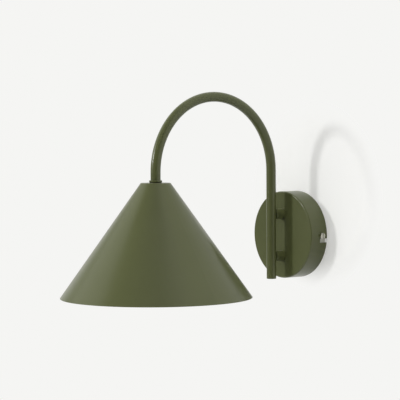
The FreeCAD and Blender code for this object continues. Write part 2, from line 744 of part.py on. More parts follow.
# --- Lampholder ----------------------------------------------------------------------------------
def holder_cap():
    """The holder's domed cap: a tapped neck, a flared shoulder and a fluted grip."""
    thread = spigot_hole / 2
    roof_z = dome_top_z - HOLDER_WALL
    cap = on_shade_axis(
        [
            (thread, holder_top_z),
            (neck_radius - HOLDER_CHAMFER, holder_top_z),
            (neck_radius, holder_top_z - HOLDER_CHAMFER),
            (neck_radius, dome_top_z, 2.5),
            (holder_radius, grip_top_z, 2.0),
            (holder_radius, sleeve_top_z),
            (holder_bore, sleeve_top_z),
            (holder_bore, grip_top_z - HOLDER_WALL * 0.6),
            (neck_radius - 1, roof_z),
            (thread, roof_z),
        ]
    )
    flutes = []
    for k in range(HOLDER_FLUTES):
        angle = 2 * math.pi * k / HOLDER_FLUTES
        foot = vec(holder_radius * math.cos(angle), shade_y + holder_radius * math.sin(angle), sleeve_top_z)
        flutes.append(Part.makeCylinder(HOLDER_FLUTE_RADIUS, HOLDER_GRIP_LENGTH * 0.8, foot))
    grub = rod(GRUB_DIAMETER, vec(0, shade_y, grub_z), vec(neck_radius + 1, shade_y, grub_z))
    return cap.cut(flutes).cut(grub)


def holder_grub_screw():
    """The grub screw that locks the cap on the arm's thread."""
    length = neck_radius - spigot_hole / 2
    return grub_screw(GRUB_DIAMETER, length, vec(spigot_hole / 2, shade_y, grub_z), X_AXIS)


def holder_sleeve():
    """The sleeve round the socket, with a stepped joint into the cap and an eased mouth."""
    joint = holder_bore - THREAD_CLEARANCE
    seat = holder_bore - HOLDER_WALL
    return on_shade_axis(
        [
            (joint, insert_top_z),
            (joint, sleeve_top_z),
            (holder_radius, sleeve_top_z),
            (holder_radius, sleeve_foot_z, HOLDER_WALL * 0.45),
            (holder_bore + HOLDER_CHAMFER, sleeve_foot_z),
            (holder_bore, sleeve_foot_z + HOLDER_CHAMFER),
            (holder_bore, socket_roof_z - HOLDER_WALL),
            (seat, socket_roof_z),
            (seat, insert_top_z),
        ]
    )


def holder_insert():
    """The insulating insert that carries the contacts, with a finger guard down to the mouth."""
    disc = holder_bore - HOLDER_WALL - THREAD_CLEARANCE
    foot = sleeve_foot_z + GUARD_RECESS
    insert = on_shade_axis(
        [
            (0, insert_top_z),
            (disc, insert_top_z),
            (disc, socket_roof_z),
            (guard_radius, socket_roof_z),
            (guard_radius, foot + HOLDER_CHAMFER),
            (guard_radius - HOLDER_CHAMFER, foot),
            (guard_bore + HOLDER_CHAMFER, foot),
            (guard_bore, foot + HOLDER_CHAMFER),
            (guard_bore, socket_roof_z),
            (0, socket_roof_z),
        ]
    )
    ways = []
    for side in (-1, 1):
        mouth = vec(side * WIRE_SPREAD / 2, shade_y, insert_top_z)
        bottom = mouth - Z_AXIS * (INSERT_DISC_HEIGHT / 2 + THREAD_CLEARANCE)
        ways.append(rod(WIRE_DIAMETER + 2 * THREAD_CLEARANCE, mouth, bottom))
    return insert.cut(ways)


def holder_shell():
    """The socket's screw shell, with a base flange and a flared mouth."""
    bore = SHELL_BORE / 2
    foot = socket_roof_z - SHELL_LENGTH
    return on_shade_axis(
        [
            (bore - SHELL_FLANGE, socket_roof_z),
            (shell_radius, socket_roof_z),
            (shell_radius, foot + 1),
            (shell_radius + SHELL_FLARE, foot),
            (bore + SHELL_FLARE, foot),
            (bore, foot + 1),
            (bore, socket_roof_z - SHELL_WALL),
            (bore - SHELL_FLANGE, socket_roof_z - SHELL_WALL),
        ]
    )


def holder_contact():
    """The sprung centre contact: a strip that dips from the socket's roof to the bulb."""
    hole = SHELL_BORE / 2 - SHELL_FLANGE - SHELL_WALL
    span = math.sqrt(hole**2 - (CONTACT_WIDTH / 2) ** 2)
    x = -CONTACT_WIDTH / 2
    roof = socket_roof_z
    thick = CONTACT_THICKNESS
    strip = [
        (vec(x, shade_y - span, roof), 0),
        (vec(x, shade_y - span * 0.4, roof), thick * 2),
        (vec(x, shade_y + span * 0.5, roof - CONTACT_DIP + thick), thick),
        (vec(x, shade_y + span, roof - CONTACT_DIP * 0.6), 0),
        (vec(x, shade_y + span, roof - CONTACT_DIP * 0.6 - thick), 0),
        (vec(x, shade_y + span * 0.5, roof - CONTACT_DIP), thick * 2),
        (vec(x, shade_y - span * 0.4, roof - thick), thick),
        (vec(x, shade_y - span, roof - thick), 0),
    ]
    return outline_face(strip).extrude(X_AXIS * CONTACT_WIDTH)


# --- Bulb ----------------------------------------------------------------------------------------
def bulb_contact():
    """The solder pip on the bulb's cap."""
    radius = BULB_PIP_DIAMETER / 2
    return on_shade_axis(
        [
            (0, bulb_cone_z),
            (radius, bulb_cone_z),
            (radius, bulb_top_z, BULB_PIP_HEIGHT * 0.8),
            (0, bulb_top_z),
        ]
    )


def bulb_insulator():
    """The black glass cone between the pip and the screw shell."""
    return on_shade_axis(
        [
            (0, bulb_cone_z),
            (BULB_PIP_DIAMETER / 2 + 0.4, bulb_cone_z, 0.3),
            (bulb_shell_radius - BULB_SHELL_SHOULDER, bulb_shell_top_z),
            (0, bulb_shell_top_z),
        ]
    )


def bulb_shell():
    """The bulb's screw shell, filled with cement."""
    return on_shade_axis(
        [
            (0, bulb_shell_top_z),
            (bulb_shell_radius - BULB_SHELL_SHOULDER, bulb_shell_top_z),
            (bulb_shell_radius, bulb_shell_top_z - BULB_SHELL_SHOULDER),
            (bulb_shell_radius, bulb_shell_foot_z),
            (0, bulb_shell_foot_z),
        ]
    )


def globe_solid(inset):
    """Returns a ball that runs into a straight neck, set in from the glass's outer face."""
    neck = bulb_shell_radius + BULB_NECK_STEP - inset
    ball = BULB_GLOBE_DIAMETER / 2 - inset
    fillet = BULB_NECK_FILLET + inset
    fillet_x = neck + fillet
    rise = math.sqrt((ball + fillet) ** 2 - fillet_x**2)
    fillet_z = globe_centre_z + rise
    toward_ball = math.atan2(rise, fillet_x)
    join = vec(ball * math.cos(toward_ball), 0, globe_centre_z + ball * math.sin(toward_ball))
    middle = math.pi + toward_ball / 2
    fillet_mid = vec(fillet_x + fillet * math.cos(middle), 0, fillet_z + fillet * math.sin(middle))
    bottom = vec(0, 0, globe_centre_z - ball)
    axis_top = vec(0, 0, bulb_shell_foot_z)
    neck_top = vec(neck, 0, bulb_shell_foot_z)
    neck_foot = vec(neck, 0, fillet_z)
    edges = [
        Part.LineSegment(axis_top, neck_top).toShape(),
        Part.LineSegment(neck_top, neck_foot).toShape(),
        Part.Arc(neck_foot, fillet_mid, join).toShape(),
        Part.Arc(join, vec(ball, 0, globe_centre_z), bottom).toShape(),
        Part.LineSegment(bottom, axis_top).toShape(),
    ]
    return placed(Part.Face(Part.Wire(edges)).revolve(ORIGIN, Z_AXIS, 360), vec(0, shade_y, 0), Z_AXIS)


def bulb_globe():
    """The blown glass globe."""
    return globe_solid(0).cut(globe_solid(BULB_GLASS))


def bulb_stem():
    """The glass stem inside the globe: a flared foot and a rod that carries the filaments."""
    foot = STEM_FOOT_DIAMETER / 2
    stalk = STEM_ROD_DIAMETER / 2
    end_z = filament_foot_z - STEM_TIP
    return on_shade_axis(
        [
            (0, bulb_shell_foot_z),
            (foot, bulb_shell_foot_z),
            (stalk, bulb_shell_foot_z - foot * 1.5, 4.0),
            (stalk, end_z, stalk * 0.9),
            (0, end_z),
        ]
    )


def bulb_filaments():
    """The light-emitting sticks round the stem, each on two leads."""
    axis = vec(0, shade_y, 0)
    sticks = []
    for k in range(FILAMENT_COUNT):
        angle = 2 * math.pi * (k + 0.5) / FILAMENT_COUNT
        out = vec(math.cos(angle), math.sin(angle), 0)
        beside = axis + out * (FILAMENT_CIRCLE / 2)
        stick = rod(FILAMENT_DIAMETER, beside + Z_AXIS * filament_foot_z, beside + Z_AXIS * filament_top_z)
        leads = []
        for z in (filament_foot_z + FILAMENT_DIAMETER, filament_top_z - FILAMENT_DIAMETER):
            stem_side = axis + out * (STEM_ROD_DIAMETER / 2) + Z_AXIS * z
            leads.append(rod(FILAMENT_LEAD_DIAMETER, stem_side, beside + Z_AXIS * z))
        sticks.append(stick.fuse(leads).removeSplitter())
    return Part.makeCompound(sticks)


# --- Terminal block and wires --------------------------------------------------------------------
def terminal_block():
    """The block: rounded towers on a web, with wire ways, screw wells and a well round its stud."""
    half = BLOCK_WIDTH / 2
    top_y = cup_inside_y + BLOCK_HEIGHT
    low_z = pole_z[-1] - BLOCK_POLE_WIDTH / 2
    web = box(
        vec(BLOCK_CENTRE_X - half + BLOCK_WEB_INSET, cup_inside_y, low_z),
        vec(BLOCK_CENTRE_X + half - BLOCK_WEB_INSET, cup_inside_y + BLOCK_WEB_HEIGHT, -low_z),
    )
    stud_base = vec(BLOCK_CENTRE_X, cup_inside_y, block_stud_z)
    stud_well = stud_base + Y_AXIS * BLOCK_WEB_HEIGHT
    nut_corners = block_nut_flats * 2 / math.sqrt(3)
    cuts = [
        rod(BLOCK_STUD_DIAMETER + 2 * THREAD_CLEARANCE, stud_base, stud_well),
        rod(nut_corners + 2 * BLOCK_NUT_WELL_GAP, stud_well, stud_well + Y_AXIS * BLOCK_HEIGHT),
    ]
    way_diameter = CLAMP_DIAMETER + 2 * THREAD_CLEARANCE
    well_diameter = CLAMP_SCREW_DIAMETER + 2 * CLAMP_SCREW_WELL_GAP
    towers = []
    for z in pole_z:
        foot = z - BLOCK_POLE_WIDTH / 2
        outline = [
            (vec(BLOCK_CENTRE_X - half, cup_inside_y, foot), 0),
            (vec(BLOCK_CENTRE_X - half, top_y, foot), BLOCK_CORNER_RADIUS),
            (vec(BLOCK_CENTRE_X + half, top_y, foot), BLOCK_CORNER_RADIUS),
            (vec(BLOCK_CENTRE_X + half, cup_inside_y, foot), 0),
        ]
        towers.append(outline_face(outline).extrude(Z_AXIS * BLOCK_POLE_WIDTH))
        middle = vec(BLOCK_CENTRE_X, block_way_y, z)
        cuts.append(rod(way_diameter, middle - X_AXIS * half, middle + X_AXIS * half))
        for side in (-1, 1):
            well = middle + X_AXIS * (side * CLAMP_SCREW_OFFSET)
            cuts.append(rod(well_diameter, well, well + Y_AXIS * BLOCK_HEIGHT))
    return web.fuse(towers).removeSplitter().cut(cuts)


def terminal_clamps():
    """The brass tubes in the block, each tapped for its two screws."""
    length = BLOCK_WIDTH - 2 * CLAMP_RECESS
    clamps = []
    for z in pole_z:
        middle = vec(BLOCK_CENTRE_X, block_way_y, z)
        clamp = ring(CLAMP_DIAMETER, CLAMP_BORE, length, middle - X_AXIS * (length / 2), X_AXIS)
        for side in (-1, 1):
            hole = middle + X_AXIS * (side * CLAMP_SCREW_OFFSET)
            clamp = clamp.cut(rod(CLAMP_SCREW_DIAMETER, hole, hole + Y_AXIS * CLAMP_DIAMETER))
        clamps.append(clamp)
    return Part.makeCompound(clamps)


def terminal_screws():
    """The clamp screws, each backed off enough to take a wire under it."""
    foot_y = block_way_y + WIRE_DIAMETER / 2 + THREAD_CLEARANCE
    screws = []
    for z in pole_z:
        for side in (-1, 1):
            foot = vec(BLOCK_CENTRE_X + side * CLAMP_SCREW_OFFSET, foot_y, z)
            screws.append(grub_screw(CLAMP_SCREW_DIAMETER, CLAMP_SCREW_LENGTH, foot, Y_AXIS))
    return Part.makeCompound(screws)


def terminal_stud():
    """The stud welded inside the cup that the block sits on."""
    base = vec(BLOCK_CENTRE_X, cup_inside_y, block_stud_z)
    length = BLOCK_WEB_HEIGHT + BLOCK_NUT_HEIGHT + BLOCK_STUD_END
    return rod(BLOCK_STUD_DIAMETER, base, base + Y_AXIS * length)


def terminal_nut():
    """The nut that holds the block on its stud."""
    base = vec(BLOCK_CENTRE_X, cup_inside_y + BLOCK_WEB_HEIGHT, block_stud_z)
    bore = BLOCK_STUD_DIAMETER + 2 * THREAD_CLEARANCE
    return hex_nut(block_nut_flats, bore, BLOCK_NUT_HEIGHT, base, Y_AXIS)


def wire_bends(points):
    """Returns the points with, at each inner one, the largest arc that its two runs have room for."""
    corners = [(points[0], 0)]
    for before, point, after in zip(points, points[1:], points[2:]):
        shorter = min((point - before).Length, (after - point).Length)
        half_turn = (point - before).getAngle(after - point) / 2
        corners.append((point, 0.45 * shorter / math.tan(half_turn)))
    corners.append((points[-1], 0))
    return corners


def wire_through_arm(side, pole):
    """Returns one wire from its clamp, through the nipple and the whole arm, to the holder's insert."""
    x = side * WIRE_SPREAD / 2
    loop_y = cup_face_y + nipple_tail + WIRE_LOOP
    corners = wire_bends(
        [
            vec(BLOCK_CENTRE_X + CLAMP_SCREW_OFFSET / 3, block_way_y, pole_z[pole]),
            vec(block_side_x + 6, block_way_y, pole_z[pole]),
            vec(x - 4 + side, loop_y, (pole_z[pole] + post_z) / 2 + 2),
            vec(x, loop_y, post_z),
            vec(x, arm_y, post_z),
        ]
    )
    corners[-1] = (corners[-1][0], tube_bore / 2)
    corners.append((vec(x, arm_y, BEND_CENTRE_HEIGHT), 0))
    rest_of_arm = arm_path(x, post_z, insert_top_z - INSERT_DISC_HEIGHT / 2)[1:]
    return swept_round(rounded_path(corners) + rest_of_arm, WIRE_DIAMETER)


def wire_live():
    """The live wire, from the top clamp."""
    return wire_through_arm(-1, 0)


def wire_neutral():
    """The neutral wire, from the middle clamp."""
    return wire_through_arm(1, 1)


def wire_earth():
    """The short earth wire from the tag on the lower post's screw to the lowest clamp."""
    points = [
        vec(0, tag_barrel_y, tag_neck_top_z + THREAD_CLEARANCE),
        vec(0, tag_barrel_y, tag_neck_top_z + 9),
        vec(-5, (tag_barrel_y + block_way_y) / 2, tag_neck_top_z + 12),
        vec(-12, block_way_y, pole_z[-1]),
        vec(BLOCK_CENTRE_X + CLAMP_SCREW_OFFSET / 3, block_way_y, pole_z[-1]),
    ]
    return swept_round(rounded_path(wire_bends(points)), WIRE_DIAMETER)


PIECES = [
    wall_bracket,
    lock_screws,
    earth_stud,
    earth_washer,
    earth_nut,
    wall_cup,
    post_upper,
    post_lower,
    post_nipple,
    post_nipple_washer,
    post_nipple_nut,
    earth_tag,
    post_screw_washer,
    post_screw,
    arm_tube,
    arm_end_plug,
    arm_collar,
    shade_washer,
    shade,
    shade_lock_washer,
    shade_nut,
    holder_cap,
    holder_grub_screw,
    holder_sleeve,
    holder_insert,
    holder_shell,
    holder_contact,
    bulb_contact,
    bulb_insulator,
    bulb_shell,
    bulb_globe,
    bulb_stem,
    bulb_filaments,
    terminal_block,
    terminal_clamps,
    terminal_screws,
    terminal_stud,
    terminal_nut,
    wire_live,
    wire_neutral,
    wire_earth,
]


def export_all():
    """Builds every piece and writes one STEP file for each, named after its function."""
    os.makedirs(PARTS_FOLDER, exist_ok=True)
    for piece in PIECES:
        shape = piece()
        solids = shape.Solids
        if not solids or not all(solid.isValid() for solid in solids):
            raise ValueError(f"{piece.__name__} is not a valid solid")
        shape.exportStep(os.path.join(PARTS_FOLDER, f"{piece.__name__}.step"))
        volume = sum(solid.Volume for solid in solids)
        print(f"{piece.__name__:20s} solids {len(solids)}  volume {volume:10.1f} mm3")


export_all()
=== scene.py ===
"""Gooseneck wall sconce in satin olive powder coat, on the wall that it is screwed to.

Every length is in metres and in the lamp's own frame, unless its name ends in _mm. The wall is the
plane Y = 0, the lamp stands out of it along -Y, +Z is up, and the origin is the centre of the wall
cup on the wall.
"""

from __future__ import annotations

import logging
import math
from dataclasses import dataclass
from enum import Enum
from typing import Any

import bmesh
import bpy
from mathutils import Matrix, Vector

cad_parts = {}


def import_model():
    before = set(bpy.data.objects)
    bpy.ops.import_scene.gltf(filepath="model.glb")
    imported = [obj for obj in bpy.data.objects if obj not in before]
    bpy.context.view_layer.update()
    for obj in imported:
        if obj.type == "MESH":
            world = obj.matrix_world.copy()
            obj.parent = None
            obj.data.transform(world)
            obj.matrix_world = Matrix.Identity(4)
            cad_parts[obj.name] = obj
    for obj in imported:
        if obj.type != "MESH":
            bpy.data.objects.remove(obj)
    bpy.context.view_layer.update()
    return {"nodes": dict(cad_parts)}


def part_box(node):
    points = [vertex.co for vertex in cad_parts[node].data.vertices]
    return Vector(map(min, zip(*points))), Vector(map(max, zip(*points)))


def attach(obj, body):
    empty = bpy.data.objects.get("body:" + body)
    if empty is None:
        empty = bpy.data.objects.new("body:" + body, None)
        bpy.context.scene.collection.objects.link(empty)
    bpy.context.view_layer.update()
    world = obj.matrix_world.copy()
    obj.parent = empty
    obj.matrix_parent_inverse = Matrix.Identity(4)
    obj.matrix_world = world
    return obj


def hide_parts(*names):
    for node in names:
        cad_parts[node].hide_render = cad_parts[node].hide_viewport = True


log = logging.getLogger("wall_sconce")

Node = bpy.types.Node
Socket = bpy.types.NodeSocket
Tree = bpy.types.NodeTree
Colour = tuple[float, float, float, float]
Ring = list[tuple[float, float]]

SHADE_AXIS_Y = -0.2065
SHARP_EDGE_DEG = 50.0
LIGHT_DISTANCE = 2.0

# How many finer layers each kind of noise has, and the band that most of its values lie in.
CLOUD_DETAIL = 4.0
GRAIN_DETAIL = 2.0
MELTED_GRAIN_DETAIL = 1.0
RIPPLE_DETAIL = 0.0
NOISE_BAND = (0.3, 0.7)
# The distance after which a wave texture of scale 1 repeats.
WAVE_PERIOD = math.pi / 10


# --- Shared helpers ------------------------------------------------------------------------------
def linear(hex_colour: str) -> Colour:
    """Turns an sRGB hex colour into the linear one that shaders take.

    Args:
        hex_colour: The colour, such as "#646A4C".

    Returns:
        Linear red, green and blue, and an alpha of 1.
    """
    channels = [int(hex_colour[i : i + 2], 16) / 255 for i in (1, 3, 5)]
    light = [c / 12.92 if c <= 0.04045 else ((c + 0.055) / 1.055) ** 2.4 for c in channels]
    return light[0], light[1], light[2], 1.0


def direction(azimuth_deg: float, elevation_deg: float) -> Vector:
    """Turns two angles into the unit vector that points that way.

    Args:
        azimuth_deg: The angle about +Z, where 0 is out from the wall and 90 is +X.
        elevation_deg: The angle above the level.

    Returns:
        The unit vector.
    """
    azimuth, elevation = math.radians(azimuth_deg), math.radians(elevation_deg)
    level = math.cos(elevation)
    return Vector((math.sin(azimuth) * level, -math.cos(azimuth) * level, math.sin(elevation)))


def per_metre(size_mm: float) -> float:
    """Returns the texture scale at which one feature of a pattern is size_mm across."""
    return 1000 / size_mm


def add_node(
    tree: Tree, kind: str, inputs: dict[str | int, Any] | None = None, **settings: Any
) -> Node:
    """Adds one node, with its settings and what goes into it.

    Args:
        tree: The node tree that it joins.
        kind: The node's class name.
        inputs: What each input socket gets, a value or another node's output socket.
        **settings: The node's own properties.

    Returns:
        The new node.
    """
    node = tree.nodes.new(kind)
    for name, value in settings.items():
        setattr(node, name, value)
    for key, value in (inputs or {}).items():
        if isinstance(value, Socket):
            tree.links.new(value, node.inputs[key])
        else:
            node.inputs[key].default_value = value
    return node


def noise(tree: Tree, place: Socket, size_mm: float, detail: float) -> Socket:
    """Adds soft noise.

    Args:
        tree: The node tree that it joins.
        place: Where it is looked up.
        size_mm: How far across one of its features is.
        detail: How many finer layers lie on the first.

    Returns:
        Its value.
    """
    inputs = {"Vector": place, "Scale": per_metre(size_mm), "Detail": detail}
    return add_node(tree, "ShaderNodeTexNoise", inputs).outputs["Fac"]


def bump(tree: Tree, height: Socket, depth_mm: float, **others: Any) -> Socket:
    """Adds a relief.

    Args:
        tree: The node tree that it joins.
        height: What it follows.
        depth_mm: How deep it is.
        **others: The node's other inputs by name.

    Returns:
        The normal of the surface with its relief.
    """
    inputs = {"Height": height, "Distance": depth_mm / 1000, **others}
    return add_node(tree, "ShaderNodeBump", inputs).outputs["Normal"]


def ramp(
    tree: Tree,
    value: Socket,
    source: tuple[float, float] = (0.0, 1.0),
    target: tuple[float, float] = (0.0, 1.0),
    **settings: Any,
) -> Socket:
    """Adds a ramp that is level beyond its two ends.

    Args:
        tree: The node tree that it joins.
        value: What it follows.
        source: The values at its two ends.
        target: The results there.
        **settings: The node's own properties.

    Returns:
        The ramp's result.
    """
    names = ("From Min", "From Max", "To Min", "To Max")
    inputs = {"Value": value, **dict(zip(names, source + target))}
    return add_node(tree, "ShaderNodeMapRange", inputs, **settings).outputs["Result"]


def maths(tree: Tree, operation: str, first: Socket | float, second: Socket | float) -> Socket:
    """Adds one operation on two numbers, and returns its result."""
    return add_node(tree, "ShaderNodeMath", {0: first, 1: second}, operation=operation).outputs[0]


def mix_colours(tree: Tree, share: Socket, first: Colour, second: Colour) -> Socket:
    """Adds a blend of two colours, and returns it."""
    inputs = {0: share, 6: first, 7: second}
    return add_node(tree, "ShaderNodeMix", inputs, data_type="RGBA").outputs[2]


def mix_numbers(
    tree: Tree, share: Socket, first: Socket | float, second: Socket | float
) -> Socket:
    """Adds a blend of two numbers, and returns it."""
    return add_node(tree, "ShaderNodeMix", {0: share, 2: first, 3: second}).outputs[0]


def add_object(name: str, data: bpy.types.ID) -> bpy.types.Object:
    """Adds an object to the scene.

    Args:
        name: Its name.
        data: Its mesh, light or camera.

    Returns:
        The new object.
    """
    made = bpy.data.objects.new(name, data)
    bpy.context.scene.collection.objects.link(made)
    return made


# --- Finishes ------------------------------------------------------------------------------------
class Grain(Enum):
    """Which way the marks of making run, as how much a pattern is squeezed along X, Y and Z."""

    EVEN = (1.0, 1.0, 1.0)
    ALONG_X = (0.06, 1.0, 1.0)
    ALONG_Y = (1.0, 0.06, 1.0)
    ALONG_Z = (1.0, 1.0, 0.06)


@dataclass(frozen=True)
class Finish:
    """A real material and the way its surface was made.

    The second colour drifts through the first in soft clouds, the roughness swings with them, and
    the grain is the relief that light catches.
    """

    name: str
    colour: str
    second_colour: str
    roughness: float
    roughness_swing: float = 0.03
    cloud_mm: float = 20.0
    grain_mm: float = 0.5
    grain_depth_mm: float = 0.004
    grain: Grain = Grain.EVEN
    metallic: float = 0.0
    specular: float = 0.5

    def material(self) -> bpy.types.Material:
        """Builds the material, or finds it if it is built.

        Returns:
            The material, named for what it really is.
        """
        if self.name in bpy.data.materials:
            return bpy.data.materials[self.name]
        made = bpy.data.materials.new(self.name)
        made.use_nodes = True
        tree = made.node_tree
        shader = tree.nodes["Principled BSDF"]
        shader.inputs["Metallic"].default_value = self.metallic
        shader.inputs["Specular IOR Level"].default_value = self.specular
        where = add_node(tree, "ShaderNodeTexCoord")
        self.tint(tree, shader, where)
        self.emboss(tree, shader, where)
        return made

    def tint(self, tree: Tree, shader: Node, where: Node) -> None:
        """Drives the colour and the roughness.

        Args:
            tree: The material's node tree.
            shader: Its principled shader.
            where: Its texture coordinates.
        """
        clouds = noise(tree, where.outputs["Object"], self.cloud_mm, CLOUD_DETAIL)
        colour = mix_colours(tree, clouds, linear(self.colour), linear(self.second_colour))
        tree.links.new(colour, shader.inputs["Base Color"])
        swing = (self.roughness - self.roughness_swing, self.roughness + self.roughness_swing)
        polish = ramp(tree, clouds, NOISE_BAND, swing)
        tree.links.new(polish, shader.inputs["Roughness"])

    def emboss(self, tree: Tree, shader: Node, where: Node) -> None:
        """Drives the surface's relief.

        Args:
            tree: The material's node tree.
            shader: Its principled shader.
            where: Its texture coordinates.
        """
        squeezed = add_node(
            tree,
            "ShaderNodeMapping",
            {"Vector": where.outputs["Object"], "Scale": Vector(self.grain.value)},
        )
        grain = noise(tree, squeezed.outputs["Vector"], self.grain_mm, GRAIN_DETAIL)
        relief = bump(tree, grain, self.grain_depth_mm)
        tree.links.new(relief, shader.inputs["Normal"])


@dataclass(frozen=True)
class PowderCoat(Finish):
    """Baked powder coat, whose melted grains leave a long soft ripple under the fine one."""

    ripple_mm: float = 1.8
    ripple_depth_mm: float = 0.012

    def emboss(self, tree: Tree, shader: Node, where: Node) -> None:
        """Drives the relief: the fine grain on the long ripple.

        Args:
            tree: The material's node tree.
            shader: Its principled shader.
            where: Its texture coordinates.
        """
        ripple = noise(tree, where.outputs["Object"], self.ripple_mm, RIPPLE_DETAIL)
        long_wave = bump(tree, ripple, self.ripple_depth_mm)
        grain = noise(tree, where.outputs["Object"], self.grain_mm, MELTED_GRAIN_DETAIL)
        relief = bump(tree, grain, self.grain_depth_mm, Normal=long_wave)
        tree.links.new(relief, shader.inputs["Normal"])


@dataclass(frozen=True)
class ThreadedMetal(Finish):
    """Turned and threaded metal, with its thread drawn as a relief along one axis."""

    pitch_mm: float = 0.8
    thread_axis: str = "Y"
    depth_per_pitch: float = 0.5
    relief_strength: float = 0.7

    def emboss(self, tree: Tree, shader: Node, where: Node) -> None:
        """Drives the relief: one ridge for each turn of the thread.

        Args:
            tree: The material's node tree.
            shader: Its principled shader.
            where: Its texture coordinates.
        """
        turns = add_node(
            tree,
            "ShaderNodeTexWave",
            {"Vector": where.outputs["Object"], "Scale": WAVE_PERIOD * per_metre(self.pitch_mm)},
            bands_direction=self.thread_axis,
            wave_profile="TRI",
        )
        relief = bump(
            tree,
            turns.outputs["Fac"],
            self.pitch_mm * self.depth_per_pitch,
            Strength=self.relief_strength,
        )
        tree.links.new(relief, shader.inputs["Normal"])


@dataclass(frozen=True)
class StripedPvc(Finish):
    """Extruded insulation with a stripe of the second colour down one side."""

    stripe_edges: tuple[float, float] = (0.55, 0.62)

    def tint(self, tree: Tree, shader: Node, where: Node) -> None:
        """Drives the colour by which way the surface faces: the stripe looks to the wall.

        Args:
            tree: The material's node tree.
            shader: Its principled shader.
            where: Its texture coordinates.
        """
        facing = add_node(tree, "ShaderNodeSeparateXYZ", {"Vector": where.outputs["Normal"]})
        stripe = ramp(tree, facing.outputs["Y"], self.stripe_edges)
        colour = mix_colours(tree, stripe, linear(self.colour), linear(self.second_colour))
        tree.links.new(colour, shader.inputs["Base Color"])
        shader.inputs["Roughness"].default_value = self.roughness


@dataclass(frozen=True)
class Glass(Finish):
    """Clear glass with the faint waves of blowing or drawing."""

    refractive_index: float = 1.5

    def tint(self, tree: Tree, shader: Node, where: Node) -> None:
        """Makes the glass clear and even.

        Args:
            tree: The material's node tree.
            shader: Its principled shader.
            where: Its texture coordinates, which clear glass doesn't need for its colour.
        """
        shader.inputs["Base Color"].default_value = linear(self.colour)
        shader.inputs["Roughness"].default_value = self.roughness
        shader.inputs["Transmission Weight"].default_value = 1.0
        shader.inputs["IOR"].default_value = self.refractive_index


# Polyester powder coat, sprayed and baked: an even satin olive with a soft ripple in its shine.
OLIVE_COAT = PowderCoat(
    "olive polyester powder coat, baked",
    "#595E39",
    "#5D623D",
    roughness=0.29,
    roughness_swing=0.01,
    cloud_mm=35.0,
    grain_mm=0.35,
    grain_depth_mm=0.002,
    specular=0.45,
    ripple_depth_mm=0.005,
)
# The same powder in white on the inside, which throws the light down: matt and almost even.
WHITE_COAT = PowderCoat(
    "white polyester powder coat, baked",
    "#EEEDE7",
    "#F3F2ED",
    roughness=0.5,
    cloud_mm=45.0,
    grain_mm=0.4,
    grain_depth_mm=0.003,
    specular=0.4,
)
# Low-carbon steel, pressed and then zinc plated: a pale grey with the sheet's rolling lines.
ZINC_SHEET = Finish(
    "mild steel, pressed and zinc plated",
    "#ACAEA8",
    "#B9B7AB",
    roughness=0.38,
    roughness_swing=0.07,
    cloud_mm=9.0,
    grain_mm=0.3,
    grain_depth_mm=0.004,
    grain=Grain.ALONG_X,
    metallic=1.0,
)
# Machined steel fasteners, barrel plated with zinc: brighter, with tiny knocks from the barrel.
ZINC_FASTENER = Finish(
    "machine steel, barrel zinc plated",
    "#C6C6BC",
    "#D3D1C4",
    roughness=0.3,
    roughness_swing=0.06,
    cloud_mm=3.0,
    grain_mm=0.45,
    grain_depth_mm=0.008,
    metallic=1.0,
)
# The same plating over an M4 cut thread: a ridge every 0.7 mm.
ZINC_STUD = ThreadedMetal(
    "machine steel stud, cut thread, zinc plated",
    "#C9C9C2",
    "#D8D6CC",
    roughness=0.32,
    cloud_mm=3.0,
    metallic=1.0,
    pitch_mm=0.7,
)
# Brass tube with a fine rolled thread of 1 mm pitch: warm yellow, bright on each crest.
BRASS_NIPPLE = ThreadedMetal(
    "free-cutting brass tube, threaded",
    "#C4A05A",
    "#B48F4C",
    roughness=0.26,
    cloud_mm=5.0,
    metallic=1.0,
    pitch_mm=1.0,
)
# Thin brass, deep drawn: warm and bright, with drawing lines down its length.
DRAWN_BRASS = Finish(
    "brass sheet, deep drawn",
    "#C9A765",
    "#BB9652",
    roughness=0.25,
    cloud_mm=6.0,
    grain_mm=0.25,
    grain=Grain.ALONG_Z,
    metallic=1.0,
)
# Phosphor bronze spring strip, rolled: redder and darker than the brass.
SPRING_BRONZE = Finish(
    "phosphor bronze strip, rolled",
    "#B98257",
    "#A9734A",
    roughness=0.28,
    cloud_mm=4.0,
    grain_mm=0.2,
    grain=Grain.ALONG_Y,
    metallic=1.0,
)
# Brass cap, rolled and nickel plated: a slightly warm white metal, the brightest on the lamp.
NICKEL_CAP = Finish(
    "brass cap, rolled and nickel plated",
    "#CFCBC1",
    "#C4BFB4",
    roughness=0.2,
    cloud_mm=5.0,
    grain_mm=0.3,
    grain_depth_mm=0.003,
    metallic=1.0,
)
# Tin solder, cooled in the air: dull grey with a lumpy skin.
SOLDER = Finish(
    "tin solder, air cooled",
    "#A9A9A5",
    "#94948F",
    roughness=0.45,
    cloud_mm=1.0,
    grain_mm=0.8,
    grain_depth_mm=0.05,
    metallic=1.0,
)
# Glass-filled polyester, moulded in a spark-eroded tool: deep black with a fine even tooth.
BLACK_MOULDING = Finish(
    "glass-filled polyester, moulded",
    "#191919",
    "#1F1F1E",
    roughness=0.48,
    cloud_mm=12.0,
    grain_mm=0.3,
    grain_depth_mm=0.012,
)
# Urea moulding, pressed from powder: cream white with faint flow marks.
WHITE_MOULDING = Finish(
    "urea resin, compression moulded",
    "#DDD9CC",
    "#E6E2D6",
    roughness=0.36,
    cloud_mm=5.0,
    grain_mm=0.6,
    grain_depth_mm=0.005,
)
# Unfilled polyamide, injection moulded: milky, a little waxy, with a light ejection haze.
NYLON_MOULDING = Finish(
    "natural polyamide, injection moulded",
    "#DAD6C6",
    "#E6E3D5",
    roughness=0.4,
    cloud_mm=6.0,
    grain_mm=0.5,
    grain_depth_mm=0.006,
)
